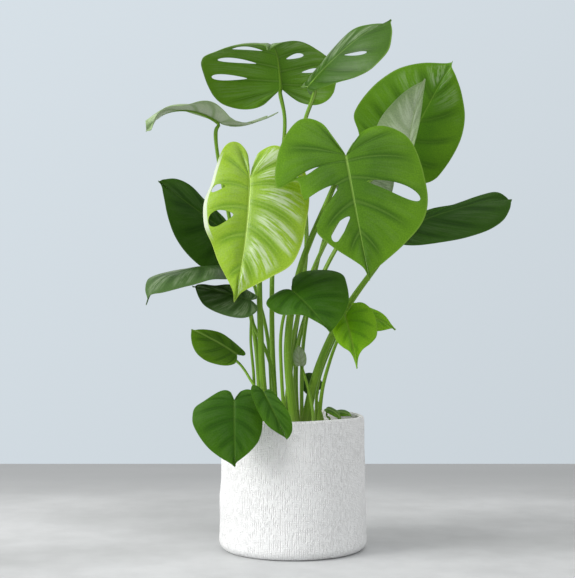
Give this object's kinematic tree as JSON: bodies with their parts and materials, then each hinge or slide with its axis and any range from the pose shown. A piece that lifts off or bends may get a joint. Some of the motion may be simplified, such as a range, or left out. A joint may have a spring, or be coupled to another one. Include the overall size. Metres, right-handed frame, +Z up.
{
  "type": "potted monstera plant",
  "caption": "Split-leaf monstera house plant with heart-shaped, slotted leaves on tall petioles, standing in a round white linen-textured ceramic pot.",
  "frame": {"origin": "centre of the pot's flat underside", "axes": "+Z up along the pot's axis; +X to the right and +Y away for someone who stands facing the plant's large front leaf"},
  "size_m": [0.4886, 0.2597, 0.6895],
  "materials": {
    "leaf_mid": "satin",
    "leaf_bright": "satin",
    "leaf_dark": "satin",
    "leaf_pale": "satin",
    "petiole": "satin",
    "pot_ceramic": "matte",
    "soil": "matte"
  },
  "bodies": {
    "root": {"pot": "pot_ceramic", "soil": "soil", "leaf_top_left": "leaf_mid", "petiole_top_left": "petiole", "leaf_top_right": "leaf_mid", "petiole_top_right": "petiole", "leaf_upper_left": "leaf_mid", "petiole_upper_left": "petiole", "leaf_new_bright": "leaf_bright", "petiole_new_bright": "petiole", "leaf_large_front": "leaf_mid", "petiole_large_front": "petiole", "leaf_folded_right": "leaf_pale", "petiole_folded_right": "petiole", "leaf_tall_right": "leaf_mid", "petiole_tall_right": "petiole", "leaf_behind_front": "leaf_pale", "petiole_behind_front": "petiole", "leaf_far_right": "leaf_dark", "petiole_far_right": "petiole", "leaf_dark_left": "leaf_dark", "petiole_dark_left": "petiole", "leaf_low_left": "leaf_dark", "petiole_low_left": "petiole", "leaf_under_left": "leaf_dark", "petiole_under_left": "petiole", "leaf_centre": "leaf_dark", "petiole_centre": "petiole", "leaf_low_right": "leaf_bright", "petiole_low_right": "petiole", "leaf_low_right_back": "leaf_bright", "petiole_low_right_back": "petiole", "leaf_small_left": "leaf_dark", "petiole_small_left": "petiole", "leaf_over_rim_left": "leaf_dark", "petiole_over_rim_left": "petiole", "leaf_over_rim_centre": "leaf_dark", "petiole_over_rim_centre": "petiole", "leaf_seedling_left": "leaf_mid", "petiole_seedling_left": "petiole", "leaf_seedling_right": "leaf_mid", "petiole_seedling_right": "petiole", "leaf_small_pale": "leaf_pale", "petiole_small_pale": "petiole", "leaf_small_dark": "leaf_dark", "petiole_small_dark": "petiole"}
  },
  "joints": []
}
